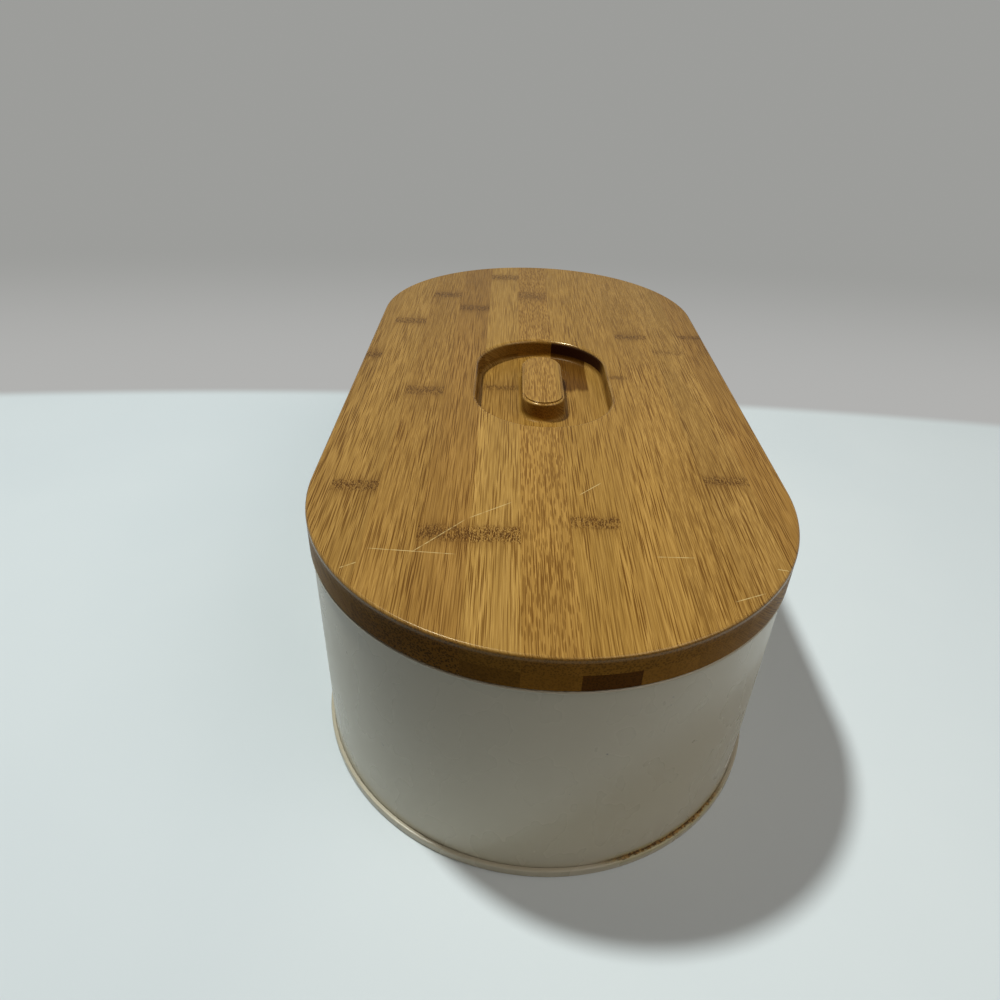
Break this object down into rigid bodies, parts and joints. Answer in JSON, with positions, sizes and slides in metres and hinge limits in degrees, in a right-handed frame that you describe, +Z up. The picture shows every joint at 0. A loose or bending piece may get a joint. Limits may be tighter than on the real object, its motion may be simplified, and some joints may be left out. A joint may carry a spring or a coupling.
{
  "type": "bread box",
  "caption": "Oblong coated-steel bread tin with rounded ends and a lift-off laminated bamboo lid, which has a grip bar standing in a routed finger recess.",
  "frame": {"origin": "on the ground under the middle of the tin", "axes": "+Z up, +Y along the box towards its far rounded end, +X across it to the right"},
  "size_m": [0.202, 0.414, 0.1206],
  "materials": {
    "coated_steel": "cream satin coating",
    "bamboo": "clear satin lacquer",
    "dark_bamboo": "clear satin lacquer over a dark stave",
    "bamboo_panel": "bare, sanded"
  },
  "bodies": {
    "tin": {"tin_wall": "coated_steel", "tin_base": "coated_steel"},
    "lid": {"grip_stave_middle": "bamboo", "grip_stave_right_1": "bamboo", "locating_panel": "bamboo_panel", "lower_stave_left_1": "bamboo", "lower_stave_left_2": "bamboo", "lower_stave_left_3": "bamboo", "lower_stave_left_4": "bamboo", "lower_stave_left_5": "bamboo", "lower_stave_middle": "bamboo", "lower_stave_right_1": "dark_bamboo", "lower_stave_right_2": "bamboo", "lower_stave_right_3": "bamboo", "lower_stave_right_4": "bamboo", "lower_stave_right_5": "bamboo", "upper_stave_left_1": "bamboo", "upper_stave_left_2": "bamboo", "upper_stave_left_3": "bamboo", "upper_stave_left_4": "bamboo", "upper_stave_left_5": "bamboo", "upper_stave_middle": "bamboo", "upper_stave_right_1": "bamboo", "upper_stave_right_2": "bamboo", "upper_stave_right_3": "bamboo", "upper_stave_right_4": "bamboo", "upper_stave_right_5": "bamboo"}
  },
  "joints": [
    {"name": "lid_lift", "type": "slide", "parent": "tin", "child": "lid", "axis": [0, 0, 1], "range_m": [0, 0.15]}
  ]
}
